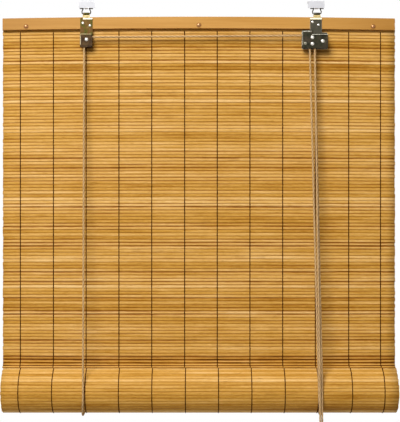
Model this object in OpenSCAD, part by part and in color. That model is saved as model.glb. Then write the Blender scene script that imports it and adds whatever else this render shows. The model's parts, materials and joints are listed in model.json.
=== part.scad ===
// Bamboo roll-up blind with cord lock, pulley bracket and ceiling hooks. Millimetres.
// Origin: on the ceiling, midway between the two hook screws. X to the right, Y away from the room, Z up.

/* [Sub-part] */
// One sub-part to build, or "all"

/* [Mat] */
// Width of the slats
mat_width = 800; // [780:10:830]
// Sideways shift of the mat from the middle of the two hooks
mat_shift = -6; // [-10:1:4]
// Distance from one slat to the next
slat_pitch = 6.65; // [6.3:0.05:7]
// Thickness of a slat
slat_t = 2; // [1.6:0.1:2.4]
// Rows of slats that hang flat, the clamped ones included
flat_rows = 105; // [98:1:108]
// Rows of slats in the bend between curtain and roll
bend_rows = 4; // [4:1:4]
// Radius of the bend between curtain and roll
bend_r = 16.5; // [15:0.5:18]
// Warp threads across the mat
thread_count = 12; // [10:1:13]
// Distance of the outer warp threads from the mat's edges
thread_margin = 31.6; // [24:0.2:40]
// Sideways shift of the warp threads from the middle of the mat
thread_shift = 3.6; // [0:0.2:5]
// Width of a warp thread pair
thread_w = 1.8; // [1.2:0.1:2.4]

/* [Roll] */
// Outer radius of the rolled mat over its slats
roll_r = 46; // [43:0.5:48]
// Radial distance from turn to turn
turn_pitch = 4; // [3.7:0.1:4.4]
// Diameter of the rod at the roll's core
rod_d = 24; // [20:1:30]
// Distance of the roll axis in front of the origin
roll_y = -20; // [-22:0.5:-18]
// Sideways shift of the roll from the curtain
roll_shift = 2; // [0:0.5:3]

/* [Battens] */
// Height of the head battens
batten_h = 24; // [20:1:26]
// Thickness of the front batten
front_batten_t = 8; // [6:0.5:9]
// Thickness of the back batten
back_batten_t = 5; // [4:0.5:7]
// Top edge of the battens below the ceiling
batten_drop = 36.5; // [36.5:0.5:40]

/* [Hangers] */
// Distance between the two hooks
hook_span = 470; // [450:5:490]
// Width of a hook
hook_w = 33; // [28:1:36]
// Sheet thickness of a hook
hook_t = 2; // [1.5:0.1:2.4]
// Diameter of the screw hole in a hook
hook_hole_d = 4.5; // [3.5:0.1:5.5]
// Wire diameter of a hanging ring
wire_d = 2.4; // [2:0.1:2.6]

/* [Hardware] */
// Sheet thickness of bracket and lock plates
sheet_t = 1.2; // [1:0.1:1.4]
// Width of the pulley bracket
bracket_w = 25; // [24:0.5:27]
// Radius of the cord line on the wheels
wheel_line_r = 5.2; // [5:0.1:5.6]
// Flange radius of the wheels
flange_r = 7.6; // [7.2:0.1:8]
// Diameter of the wheel and cam axles
axle_d = 4; // [3:0.1:4]
// Radius of the rivet heads
rivet_r = 3.7; // [3.2:0.1:4]

/* [Cord] */
// Diameter of the cord
cord_d = 3.8; // [3.2:0.1:4]

/* [Hidden] */

// Fits
running_gap = 0.3;
axle_clearance = 0.04;
seat_gap = 0.05;

x_axis = [1, 0, 0];
y_axis = [0, 1, 0];

// Depths, from the hooks' screws towards the room
batten_front_y = -25.4;
mat_front_y = batten_front_y + front_batten_t;
mat_y = mat_front_y + slat_t / 2;
mat_back_y = mat_front_y + slat_t;
plate_front_y = batten_front_y - sheet_t;
ring_y = plate_front_y + sheet_t / 2;
wheel_w = cord_d + 2.2;
rear_groove_y = plate_front_y - running_gap - wheel_w / 2;
front_groove_y = rear_groove_y - wheel_w + 0.2;
left_inner_y = rear_groove_y - wheel_w / 2 - running_gap;
lock_inner_y = front_groove_y - wheel_w / 2 - running_gap;
lock_face_y = lock_inner_y - sheet_t;

// Heights
batten_top_z = -batten_drop;
batten_low_z = batten_top_z - batten_h;
ring_low_z = -29.7;
neck_top_z = -17;
lip_top_z = -7;
plate_top_z = -38;
housing_low_z = -98.5;

// Hardware positions
left_x = -hook_span / 2;
right_x = hook_span / 2;
left_axle_x = left_x + 1;
left_axle_z = -83;
cheek_top_z = -72.5;
lock_x0 = right_x - 31;
lock_x1 = right_x + 21;
lock_step_x = right_x - 8.5;
lock_left_top_z = -65;
lock_right_top_z = -73.5;
lock_back_top_z = -68;
lock_low_z = -101.6;
lock_wheel_pos = [right_x - 10.3, -79.7];
lock_pin_pos = [right_x - 10.3, -92.8];
lock_cam_pos = [right_x + 10.6, -87.2];
lock_spacer_pos = [right_x - 24.5, -91.8];
lock_pin_r = wheel_line_r - cord_d / 2 - 0.4;
cam_reach = lock_cam_pos[0] - lock_wheel_pos[0] - wheel_line_r - cord_d / 2 - running_gap;
cam_drop = 25;
nail_r = 1.3;
nail_head_r = 2.6;
batten_nail_head_r = 3.4;

// Roll and bend, in the side view as [y, z]
mat_x0 = mat_shift - mat_width / 2;
mid_r = roll_r - slat_t / 2;
bend_c_y = mat_y - bend_r;
bend_dy = roll_y - bend_c_y;
thread_t = 0.5;
thread_r = roll_r + thread_t;
// The bend ends on the roll with its own layer, clear of the threads under it
wrap_r = thread_r + running_gap + slat_t / 2;
bend_dz = sqrt(pow(bend_r + wrap_r, 2) - pow(bend_dy, 2));
meet_angle = asin(bend_dy / (bend_r + wrap_r));
bend_turn = 90 - meet_angle;
bend_len = bend_r * bend_turn * PI / 180;
mat_top_z = batten_top_z - 1.2;
bend_z = mat_top_z - flat_rows * slat_pitch;
roll_z = bend_z - bend_dz;
thread_pitch = (mat_width - 2 * thread_margin) / (thread_count - 1);
core_gap = 0.7;
core_r = rod_d / 2 + core_gap + slat_t / 2;
roll_rows = floor(PI * (pow(mid_r, 2) - pow(core_r, 2)) / turn_pitch / slat_pitch);
web_t = 0.7;
groove_w = 0.45;

function unit(v) = v / norm(v);
function mean_normal(p, i) =
    let (a = p[max(i - 1, 0)], b = p[min(i + 1, len(p) - 1)], d = unit(b - a)) [d[1], -d[0]];
function slat_dir(p, i) = unit(p[i + 1] - p[i]);
function slat_normal(p, i) = let (d = slat_dir(p, i)) [d[1], -d[0]];

// Point of the mat's middle at a length beyond the start of the bend
function bend_point(s) =
    s < bend_len
        ? let (a = s / bend_r * 180 / PI) [bend_c_y + bend_r * cos(a), bend_z - bend_r * sin(a)]
        : let (a = meet_angle + (s - bend_len) / wrap_r * 180 / PI)
            [roll_y - wrap_r * sin(a), roll_z + wrap_r * cos(a)];
curtain_path = [for (i = [0 : flat_rows]) [mat_y, mat_top_z - i * slat_pitch]];
bend_path = [for (i = [0 : bend_rows]) bend_point(i * slat_pitch + running_gap)];

// Spiral of the rolled mat, from under the bend's last slat over the front and inwards
roll_start = meet_angle + ((bend_rows - 1) * slat_pitch - bend_len + running_gap) / wrap_r * 180 / PI;
function spiral_r(a) = mid_r - turn_pitch * a / 360;
spiral_angles = [
    for (i = 0, a = 0; i <= roll_rows; i = i + 1, a = a + slat_pitch / spiral_r(a) * 180 / PI) a];
roll_path = [for (a = spiral_angles)
    [roll_y - spiral_r(a) * sin(a + roll_start), roll_z + spiral_r(a) * cos(a + roll_start)]];

// One side of the ridged mat, with a groove at each slat's edge
function ridge_side(p, side) = [
    for (i = [0 : len(p) - 2]) each [
        p[i] + side * mean_normal(p, i) * web_t / 2,
        p[i] + slat_dir(p, i) * groove_w + side * slat_normal(p, i) * slat_t / 2,
        p[i + 1] - slat_dir(p, i) * groove_w + side * slat_normal(p, i) * slat_t / 2
    ],
    p[len(p) - 1] + side * mean_normal(p, len(p) - 1) * web_t / 2
];
function plain_side(p, n) = [for (i = [0 : len(p) - 1]) p[i] + mean_normal(p, i) * n];
function reversed(p) = [for (i = [len(p) - 1 : -1 : 0]) p[i]];

// Path with its inner corners rounded, and the outline of a bent sheet along it
function fillet(a, b, c, r) =
    let (u = unit(a - b), v = unit(c - b), half = acos(u * v) / 2, m = b + unit(u + v) * r / sin(half),
        e = unit(b + u * r / tan(half) - m), f = unit(b + v * r / tan(half) - m))
    [for (k = [0 : 6]) m + r * unit(e * (6 - k) + f * k)];
function rounded(p, r) =
    [p[0], for (i = [1 : len(p) - 2]) each fillet(p[i - 1], p[i], p[i + 1], r), p[len(p) - 1]];
function bent_sheet(p, r, t) =
    let (q = rounded(p, r)) concat(plain_side(q, t / 2), reversed(plain_side(q, -t / 2)));

// Strip that lies on the slats of a path, from one row to another
function strip_side(p, from, to, n) = [
    for (i = [from : to]) each [
        p[i] + slat_dir(p, i) * groove_w + slat_normal(p, i) * n,
        p[i + 1] - slat_dir(p, i) * groove_w + slat_normal(p, i) * n
    ]
];

// Extrudes a side view along X
module along_x(x, length) {
    translate([x, 0, 0]) rotate([90, 0, 90]) linear_extrude(height = length) children();
}

// Extrudes a front view, drawn as [x, z], towards the room from a depth
module towards_room(y, depth) {
    translate([0, y, 0]) rotate([90, 0, 0]) linear_extrude(height = depth) children();
}

// Round bar along Y from y1 to y2
module bar_y(x, z, r, y1, y2) {
    translate([x, max(y1, y2), z]) rotate([90, 0, 0]) cylinder(r = r, h = abs(y2 - y1), $fn = 32);
}

// Domed head on the room side of a face
module dome(x, z, r, y, h) {
    translate([x, y, z]) rotate([90, 0, 0]) rotate_extrude($fn = 32)
        polygon(concat([[0, 0], [r, 0]], [for (a = [15 : 15 : 90]) [r * cos(a), h * sin(a)]]));
}

// Rounded rectangle in a front view
module round_rect(x0, z0, x1, z1, r) {
    corner = [[x1 - r, z1 - r, 0], [x0 + r, z1 - r, 90], [x0 + r, z0 + r, 180], [x1 - r, z0 + r, 270]];
    polygon([for (c = corner) for (a = [0 : 18 : 90]) [c[0] + r * cos(c[2] + a), c[1] + r * sin(c[2] + a)]]);
}

// Round tube swept along a route; ref is a direction that the route never runs along
module sweep(route, ref, d, sides) {
    n = len(route);
    tangent = [for (i = [0 : n - 1]) unit(route[min(i + 1, n - 1)] - route[max(i - 1, 0)])];
    points = [for (i = [0 : n - 1])
        let (t = tangent[i], u = unit(cross(ref, t)), v = cross(t, u))
        for (j = [0 : sides - 1])
            route[i] + d / 2 * (u * cos(360 * j / sides) + v * sin(360 * j / sides))];
    start_cap = [[for (j = [0 : sides - 1]) j]];
    end_cap = [[for (j = [sides - 1 : -1 : 0]) (n - 1) * sides + j]];
    walls = [for (i = [0 : n - 2]) for (j = [0 : sides - 1])
        let (k = (j + 1) % sides)
        [i * sides + j, (i + 1) * sides + j, (i + 1) * sides + k, i * sides + k]];
    polyhedron(points = points, faces = concat(start_cap, end_cap, walls), convexity = 6);
}
module cord(route, ref) sweep(route, ref, cord_d, 8);

// Arc in a front view at one depth, as [x, y, z] points
function arc_front(c, r, a0, a1, steps, y) =
    [for (i = [0 : steps]) let (a = a0 + (a1 - a0) * i / steps) [c[0] + r * cos(a), y, c[1] + r * sin(a)]];
// Arc around the roll at one x
function arc_roll(x, r, a0, a1, steps) =
    [for (i = [0 : steps]) let (a = a0 + (a1 - a0) * i / steps)
        [x, roll_y + r * cos(a), roll_z + r * sin(a)]];
// Angle on a circle around the roll where a line from a point touches it, on the front (1) or back (-1)
function touch_angle(y, z, r, side) =
    let (dy = y - roll_y, dz = z - roll_z) atan2(dz, dy) + side * acos(r / norm([dy, dz]));

cord_start_z = lock_low_z + 3.6;
line_r = thread_r + running_gap + cord_d / 2;
left_leg_x = left_axle_x - wheel_line_r;
left_sling_x = left_x - 2.6;
right_leg_x = lock_wheel_pos[0] - wheel_line_r;
pull_x = lock_wheel_pos[0] + wheel_line_r;
right_sling_x = right_x;
front_pull_x = right_x + 1.9;
rear_pull_x = right_x + 6.5;
front_pull_r = line_r + cord_d + running_gap;
anchor_y = mat_back_y + back_batten_t + cord_d / 2 + seat_gap;
anchor_z = batten_low_z + 4;
left_front_angle = touch_angle(rear_groove_y, cord_start_z, line_r, 1);
right_front_angle = touch_angle(front_groove_y, cord_start_z, line_r, 1);
back_angle = touch_angle(anchor_y, anchor_z, line_r, -1) + 360;

// Hank of the pull cord
hank_top_z = -868;
hank_run = 60;
hank_layers = 4;
hank_turns_deep = 4;
hank_cord_pitch = cord_d + 0.1;
hank_in_r = 3 * cord_d - hank_cord_pitch / 2;
hank_out_r = hank_in_r + hank_layers * hank_cord_pitch;
hank_depth = hank_turns_deep * hank_cord_pitch;
hank_x = (front_pull_x + rear_pull_x) / 2;
hank_y = roll_y - (line_r + front_pull_r) / 2;
hank_mid_z = hank_top_z - hank_out_r - hank_run / 2;
hank_low_z = hank_mid_z - hank_out_r - hank_run / 2;
knot_r = 4;
knot_drop = 9;
pull_hang = 30;
tie_h = 3 * cord_d;

module hook(x, lip_shift) {
    h = hook_t / 2;
    strap_y = -15;
    lip_y = -32 - h;
    neck_z = neck_top_z - h;
    color("white") {
        // Ceiling plate with its screw hole, bent down into a strap behind the ring
        difference() {
            along_x(x - hook_w / 2, hook_w)
                polygon(bent_sheet([[14, -h], [strap_y, -h], [strap_y, neck_z + 2.6]], 2.2, hook_t));
            translate([x, 0, -hook_t - 1]) cylinder(d = hook_hole_d, h = hook_t + 2, $fn = 32);
        }
        // Narrow neck between the ring's legs, bent up into the wide lip in front of it
        along_x(x - 4, 8) polygon(bent_sheet(
            [[strap_y, neck_z + 4], [strap_y, neck_z], [lip_y, neck_z], [lip_y, lip_top_z - 2]],
            2.2, hook_t));
        towards_room(lip_y + h, hook_t)
            translate([x + lip_shift, 0])
                round_rect(-hook_w / 2, neck_top_z - hook_t, hook_w / 2, lip_top_z, 2);
    }
}

// The wide lips stand a little inwards of their necks
lip_inset = 2.5;
module left_hook() hook(left_x, lip_inset);
module right_hook() hook(right_x, -lip_inset);

// Wire ring: lower bar in the curl, bulging sides, a waist with two feet, top bar on the hook's neck
ring_bend_r = 1.8;
ring_bar = 13.4;
ring_waist = 6.4;
foot_reach = 13.6;
foot_d = 2;
module ring(x) {
    top_z = neck_top_z + wire_d / 2;
    waist_z = neck_top_z - hook_t - 0.2;
    left_side = [[-ring_bar / 2 + 0.8, ring_low_z], [-8.2, ring_low_z], [-8.9, ring_low_z + 4.7],
        [-ring_waist, waist_z], [-ring_waist, top_z]];
    right_side = [for (q = reversed(left_side)) [-q[0], q[1]]];
    color("dimgray") translate([x, ring_y, 0]) {
        sweep([for (q = rounded(concat(left_side, right_side), ring_bend_r)) [q[0], 0, q[1]]],
            y_axis, 0.98 * wire_d, 12);
        translate([-ring_bar / 2, 0, ring_low_z]) rotate([0, 90, 0])
            cylinder(d = wire_d, h = ring_bar, $fn = 24);
        for (side = [-1, 1]) translate([side * ring_waist, 0, waist_z]) rotate([0, side * 90, 0])
            cylinder(d = foot_d, h = foot_reach - ring_waist, $fn = 24);
    }
}

module left_ring() ring(left_x);
module right_ring() ring(right_x);

batten_nail_x = [mat_x0 + 46, mat_shift, mat_x0 + mat_width - 44];
batten_nail_z = batten_top_z - 17;
left_nail_pos = [[left_x - 7.2, -48.5], [left_x + 7.2, -53.6]];
lock_nail_pos = [[right_x - 9, -46.3], [right_x + 3.2, -52.2]];
nail_depth = 6;

module batten(y0, t) {
    c = 0.8;
    along_x(mat_x0, mat_width) polygon([
        [y0 + c, batten_low_z], [y0 + t - c, batten_low_z],
        [y0 + t, batten_low_z + c], [y0 + t, batten_top_z - c],
        [y0 + t - c, batten_top_z], [y0 + c, batten_top_z], [y0, batten_top_z - c], [y0, batten_low_z + c]]);
}

module front_batten() color("peru") difference() {
    batten(batten_front_y, front_batten_t);
    for (x = batten_nail_x) bar_y(x, batten_nail_z, nail_r, batten_front_y - 1, mat_front_y + 1);
    for (p = concat(left_nail_pos, lock_nail_pos))
        bar_y(p[0], p[1], nail_r, batten_front_y - 1, batten_front_y + nail_depth);
}

module back_batten() color("peru") difference() {
    batten(mat_back_y, back_batten_t);
    for (x = batten_nail_x) bar_y(x, batten_nail_z, nail_r, mat_back_y - 1, mat_back_y + back_batten_t + 1);
}

module batten_nails() color("gray") for (x = batten_nail_x) {
    dome(x, batten_nail_z, batten_nail_head_r, batten_front_y, 1.4);
    bar_y(x, batten_nail_z, nail_r - seat_gap, batten_front_y, mat_back_y + back_batten_t);
}

module slat_curtain() color("burlywood") difference() {
    along_x(mat_x0, mat_width)
        polygon(concat(ridge_side(curtain_path, 1), reversed(ridge_side(curtain_path, -1))));
    for (x = batten_nail_x) bar_y(x, batten_nail_z, nail_r, mat_front_y - 1, mat_back_y + 1);
}

function thread_x(i) =
    mat_shift + thread_shift + (i - (thread_count - 1) / 2) * thread_pitch - thread_w / 2;
thread_top_row = ceil((mat_top_z - batten_low_z) / slat_pitch);

module curtain_threads() color("saddlebrown") for (i = [0 : thread_count - 1]) {
    top_z = mat_top_z - thread_top_row * slat_pitch;
    for (y = [mat_front_y - thread_t, mat_back_y])
        along_x(thread_x(i), thread_w) translate([y, bend_z + groove_w])
            square([thread_t, top_z - bend_z - groove_w]);
}

// Bend between curtain and roll
module mat_bend() color("burlywood") along_x(mat_x0, mat_width)
    polygon(concat(ridge_side(bend_path, 1), reversed(ridge_side(bend_path, -1))));
module bend_threads() color("saddlebrown") for (i = [0 : thread_count - 1])
    along_x(thread_x(i), thread_w) polygon(concat(
        strip_side(bend_path, 0, bend_rows - 1, slat_t / 2),
        reversed(strip_side(bend_path, 0, bend_rows - 1, slat_t / 2 + thread_t))));

// Curl around a ring's lower bar, at the end of the tongue
curl_half_w = 6.4;
curl_out_r = wire_d / 2 + axle_clearance + sheet_t;
module curl(x) {
    translate([x - curl_half_w, ring_y, ring_low_z]) rotate([0, 90, 0]) difference() {
        cylinder(r = curl_out_r, h = 2 * curl_half_w, $fn = 32);
        translate([0, 0, -1]) cylinder(r = wire_d / 2 + axle_clearance, h = 2 * curl_half_w + 2, $fn = 32);
    }
}

// Pale tongue between curl and plate: a rounded ridge, and a sloped shoulder on the plate's top edge
tongue_half_w = 7.4;
shoulder_h = 3.4;
module tongue(x, shoulder_x0, shoulder_x1) {
    top_z = ring_low_z - curl_out_r - seat_gap;
    ridge_h = top_z - plate_top_z;
    ridge = [for (k = [0 : 12])
        [plate_front_y - 2.2 * sin(k * 15), top_z - ridge_h * (k / 12)]];
    color("khaki") {
        along_x(x - tongue_half_w, 2 * tongue_half_w)
            polygon(concat([[batten_front_y, top_z]], ridge, [[batten_front_y, plate_top_z]]));
        along_x(shoulder_x0, shoulder_x1 - shoulder_x0) polygon([
            [plate_front_y, plate_top_z], [plate_front_y - 1.9, plate_top_z - shoulder_h],
            [plate_front_y - 1.2, plate_top_z - shoulder_h - 0.6],
            [plate_front_y, plate_top_z - shoulder_h - 0.6]]);
    }
}
module left_tongue() tongue(left_x, left_x - 6.7, left_x + bracket_w / 2);
module right_tongue() tongue(right_x, right_x - 14, right_x + 10);

module left_bracket() color("darkkhaki") {
    x0 = left_x - bracket_w / 2;
    x1 = left_x + bracket_w / 2;
    h = sheet_t / 2;
    curl(left_x);
    difference() {
        union() {
            towards_room(batten_front_y, sheet_t) polygon([
                [x0, cheek_top_z], [x0 + 2.5, cheek_top_z - 2.5], [x0 + 2.5, housing_low_z],
                [x1, housing_low_z], [x1, plate_top_z - 1.5], [x1 - 1.5, plate_top_z],
                [x0 + 1.5, plate_top_z], [x0, plate_top_z - 1.5]]);
            // Front cheek, folded over from the left edge
            translate([0, 0, housing_low_z]) linear_extrude(height = cheek_top_z - housing_low_z)
                polygon(bent_sheet([[x1, batten_front_y - h], [x0 + h, batten_front_y - h],
                    [x0 + h, left_inner_y - h], [x1, left_inner_y - h]], 1.6, sheet_t));
        }
        // Cut corner of the cheek
        towards_room(left_inner_y + 1, sheet_t + 2)
            polygon([[x1 + 1, housing_low_z - 1], [x1 + 1, housing_low_z + 4], [x1 - 4, housing_low_z - 1]]);
        bar_y(left_axle_x, left_axle_z, axle_d / 2, batten_front_y + 1, left_inner_y - sheet_t - 1);
        for (p = left_nail_pos) bar_y(p[0], p[1], nail_r, batten_front_y + 1, plate_front_y - 1);
    }
}

// Rivet through two plates with a domed head in front and a flat one behind
module rivet(x, z, r, face_y, head_r, head_h) {
    bar_y(x, z, r - seat_gap, batten_front_y, face_y);
    bar_y(x, z, r + 1.2, batten_front_y, batten_front_y + 1);
    dome(x, z, head_r, face_y, head_h);
}

module left_axle() color("silver")
    rivet(left_axle_x, left_axle_z, axle_d / 2, left_inner_y - sheet_t, rivet_r, 1.6);

module nail_pair(pos) color("silver") for (p = pos) {
    bar_y(p[0], p[1], nail_r - seat_gap, plate_front_y, batten_front_y + nail_depth - 0.5);
    dome(p[0], p[1], nail_head_r, plate_front_y, 1.1);
}

module left_bracket_nails() nail_pair(left_nail_pos);
module lock_nails() nail_pair(lock_nail_pos);

// Grooved wheel on a Y axle, with one groove at each depth
module wheel(x, z, grooves) {
    half = wheel_w / 2;
    root_r = wheel_line_r - cord_d / 2 - running_gap;
    rim = half - 0.6;
    back = max(grooves) + half;
    depth = back - min(grooves) + half;
    profile = concat(
        [[axle_d / 2 + axle_clearance, 0], [flange_r, 0]],
        [for (g = grooves) each let (c = back - g) [
            [flange_r, c - rim], [root_r, c - rim + 0.35], [root_r, c + rim - 0.35], [flange_r, c + rim]]],
        [[flange_r, depth], [axle_d / 2 + axle_clearance, depth]]);
    color("slategray") translate([x, back, z]) rotate([90, 0, 0]) rotate_extrude($fn = 48) polygon(profile);
}

module left_wheel() wheel(left_axle_x, left_axle_z, [rear_groove_y]);
module lock_wheel() wheel(lock_wheel_pos[0], lock_wheel_pos[1], [rear_groove_y, front_groove_y]);

lock_rivets = [
    [lock_wheel_pos, axle_d / 2], [lock_pin_pos, lock_pin_r],
    [lock_cam_pos, axle_d / 2], [lock_spacer_pos, 2.5]];

module lock_plate() color("dimgray") {
    tab_x0 = right_x - 14;
    tab_x1 = right_x + 10;
    curl(right_x);
    difference() {
        towards_room(batten_front_y, sheet_t) polygon([
            [lock_x0, lock_low_z], [lock_x1, lock_low_z], [lock_x1, lock_back_top_z],
            [tab_x1, lock_back_top_z], [tab_x1, plate_top_z - 1.5], [tab_x1 - 1.5, plate_top_z],
            [tab_x0 + 1.5, plate_top_z],
            [tab_x0, plate_top_z - 1.5], [tab_x0, lock_left_top_z], [lock_x0, lock_left_top_z]]);
        for (r = lock_rivets) bar_y(r[0][0], r[0][1], r[1], batten_front_y + 1, plate_front_y - 1);
        for (p = lock_nail_pos) bar_y(p[0], p[1], nail_r, batten_front_y + 1, plate_front_y - 1);
    }
}

module lock_front() color("dimgray") difference() {
    h = sheet_t / 2;
    mid_y = lock_inner_y - h;
    fold_top_z = lock_left_top_z - 20;
    union() {
        towards_room(lock_inner_y, sheet_t) polygon([
            [lock_x0 + 3, lock_low_z], [lock_x1, lock_low_z], [lock_x1, lock_right_top_z - 2],
            [lock_step_x, lock_right_top_z - 2], [lock_step_x, lock_left_top_z], [lock_x0, lock_left_top_z],
            [lock_x0, fold_top_z], [lock_x0 + 3, fold_top_z]]);
        // Lip folded out along the lower part's top
        along_x(lock_step_x + 1, lock_x1 - lock_step_x - 1) polygon(bent_sheet(
            [[mid_y, lock_right_top_z - 5], [mid_y, lock_right_top_z - h],
                [lock_face_y - 2.2, lock_right_top_z - h]], 1, sheet_t));
        // Left edge folded back
        translate([0, 0, lock_low_z]) linear_extrude(height = fold_top_z - lock_low_z)
            polygon(bent_sheet(
                [[lock_x0 + 6, mid_y], [lock_x0 + h, mid_y], [lock_x0 + h, mid_y + 4]], 1.2, sheet_t));
    }
    for (r = lock_rivets) bar_y(r[0][0], r[0][1], r[1], lock_inner_y + 1, lock_face_y - 1);
}

module lock_wheel_axle() color("silver")
    rivet(lock_wheel_pos[0], lock_wheel_pos[1], axle_d / 2, lock_face_y, rivet_r, 1.6);
module lock_pin() color("silver")
    rivet(lock_pin_pos[0], lock_pin_pos[1], lock_pin_r, lock_face_y, rivet_r, 1.6);
module lock_cam_axle() color("silver")
    rivet(lock_cam_pos[0], lock_cam_pos[1], axle_d / 2, lock_face_y, rivet_r, 1.6);
module lock_spacer() color("gray") rivet(lock_spacer_pos[0], lock_spacer_pos[1], 2.5, lock_face_y, 3.1, 0.5);

// Toothed cam that nips the pull strands against the pin
module lock_cam() {
    tip_a = 180 + cam_drop;
    tip_r = cam_reach / cos(cam_drop);
    teeth = [for (i = [0 : 4]) each let (a = tip_a - 2 + 7 * i, r = tip_r - 0.12 * i) [
        [r * cos(a), r * sin(a)], [(r - 0.9) * cos(a + 3.5), (r - 0.9) * sin(a + 3.5)]]];
    hub_r = axle_d / 2 + 2.2;
    hub = [for (a = [270 : 20 : 450 + 60]) [hub_r * cos(a), hub_r * sin(a)]];
    depth = plate_front_y - lock_inner_y - 2 * running_gap;
    color("slategray") translate([lock_cam_pos[0], 0, lock_cam_pos[1]]) difference() {
        towards_room(plate_front_y - running_gap, depth) polygon(concat(teeth, hub));
        bar_y(0, 0, axle_d / 2 + axle_clearance, plate_front_y + 1, lock_inner_y - 1);
    }
}

cord_color = "tan";

// Cord of the left wheel: over the wheel, across to the lock, over the rear groove and down
module head_cord() color(cord_color) cord(concat(
    [[left_leg_x, rear_groove_y, cord_start_z]],
    arc_front([left_axle_x, left_axle_z], wheel_line_r, 180, 90, 5, rear_groove_y),
    arc_front(lock_wheel_pos, wheel_line_r, 90, 0, 5, rear_groove_y),
    [[pull_x, rear_groove_y, cord_start_z]]), y_axis);

// Cord of the right side: up, over the front groove and down
module lock_cord() color(cord_color) cord(concat(
    [[right_leg_x, front_groove_y, cord_start_z]],
    arc_front(lock_wheel_pos, wheel_line_r, 180, 0, 10, front_groove_y),
    [[pull_x, front_groove_y, cord_start_z]]), y_axis);

function lift_front_route(x, y, sling_x, angle) = [
    [x, y, cord_start_z - running_gap], [x, y, cord_start_z - 3],
    [sling_x, roll_y + line_r * cos(angle), roll_z + line_r * sin(angle)] + running_gap * [0, 0, 1]];
module left_lift_front() color(cord_color)
    cord(lift_front_route(left_leg_x, rear_groove_y, left_sling_x, left_front_angle), x_axis);
module right_lift_front() color(cord_color)
    cord(lift_front_route(right_leg_x, front_groove_y, right_sling_x, right_front_angle), x_axis);

function lift_back_route(x) = [
    [x, anchor_y, anchor_z + 14], [x, anchor_y, anchor_z],
    [x, roll_y + line_r * cos(back_angle), roll_z + line_r * sin(back_angle) + running_gap]];
module left_lift_back() color(cord_color) cord(lift_back_route(left_sling_x), x_axis);
module right_lift_back() color(cord_color) cord(lift_back_route(right_sling_x), x_axis);

// Saddle nailed over a lift cord's end on the back batten
module cord_anchor(x) {
    y0 = mat_back_y + back_batten_t;
    in_r = cord_d / 2 + 2 * seat_gap;
    color("silver") difference() {
        translate([0, 0, anchor_z + 4]) linear_extrude(height = 7) union() {
            translate([x - 8, y0]) square([16, 1]);
            translate([x, anchor_y]) circle(r = in_r + 1, $fn = 32);
        }
        translate([x, anchor_y, anchor_z]) cylinder(r = in_r, h = 20, $fn = 32);
        translate([x - in_r, y0 - 5, anchor_z]) cube([2 * in_r, anchor_y - y0 + 5, 20]);
        translate([x - 10, y0 - 10, anchor_z]) cube([20, 10, 20]);
    }
    color("silver") for (s = [-5.6, 5.6]) dome_back(x + s, anchor_z + 7.5, 1.8, y0 + 1, 0.9);
}
// Domed head on the window side of a face
module dome_back(x, z, r, y, h) {
    translate([x, y, z]) rotate([-90, 0, 0]) rotate_extrude($fn = 24)
        polygon(concat([[0, 0], [r, 0]], [for (a = [30 : 30 : 90]) [r * cos(a), h * sin(a)]]));
}
module left_cord_anchor() cord_anchor(left_sling_x);
module right_cord_anchor() cord_anchor(right_sling_x);

// Cord under the roll, from its front to its back
module left_sling() color(cord_color)
    cord(arc_roll(left_sling_x, line_r, left_front_angle, back_angle, 22), x_axis);
module right_sling() color(cord_color)
    cord(arc_roll(right_sling_x, line_r, right_front_angle, back_angle, 22), x_axis);

module slat_roll() color("burlywood") along_x(mat_x0 + roll_shift, mat_width)
    polygon(concat(ridge_side(roll_path, 1), reversed(plain_side(roll_path, -slat_t / 2))));

outer_rows = floor(0.97 * 360 / (slat_pitch / mid_r * 180 / PI));
module roll_threads() color("saddlebrown") for (i = [0 : thread_count - 1])
    along_x(thread_x(i) + roll_shift, thread_w) polygon(concat(
        strip_side(roll_path, 0, outer_rows, slat_t / 2),
        reversed(strip_side(roll_path, 0, outer_rows, slat_t / 2 + thread_t))));

// Rod in the mat's lower edge, at the core of the roll
module bottom_rod() color("peru") translate([mat_x0 + roll_shift, roll_y, roll_z]) rotate([0, 90, 0])
    cylinder(d = rod_d, h = mat_width, $fn = 48);

// Pull strands: from the lock to the front of the roll, then down to the hank
function pull_upper_route(y, x, r) = let (a = touch_angle(y, cord_start_z, r, 1)) concat(
    [[pull_x, y, cord_start_z - running_gap], [pull_x, y, cord_start_z - 3]],
    arc_roll(x, r, a, 180, 2));
module front_pull_upper() color(cord_color)
    cord(pull_upper_route(front_groove_y, front_pull_x, front_pull_r), x_axis);
module rear_pull_upper() color(cord_color)
    cord(pull_upper_route(rear_groove_y, rear_pull_x, line_r), x_axis);
function pull_lower_route(x, r, y_end) = [
    [x, roll_y - r, roll_z - running_gap], [x, roll_y - r, roll_z - pull_hang],
    [x, (roll_y - r + y_end) / 2, (roll_z - pull_hang + hank_top_z) / 2], [x, y_end, hank_top_z]];
module front_pull_lower() color(cord_color)
    cord(pull_lower_route(front_pull_x, front_pull_r, hank_y - hank_cord_pitch / 2), x_axis);
module rear_pull_lower() color(cord_color)
    cord(pull_lower_route(rear_pull_x, line_r, hank_y + hank_cord_pitch / 2), x_axis);

module stadium(r) {
    translate([0, hank_run / 2]) circle(r = r, $fn = 48);
    translate([0, -hank_run / 2]) circle(r = r, $fn = 48);
    translate([-r, -hank_run / 2]) square([2 * r, hank_run]);
}
module hank(y) color(cord_color) translate([hank_x, 0, hank_mid_z]) towards_room(y, hank_depth)
    difference() {
        stadium(hank_out_r);
        stadium(hank_in_r);
    }
module front_hank() hank(hank_y);
module back_hank() hank(hank_y + hank_depth);

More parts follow.
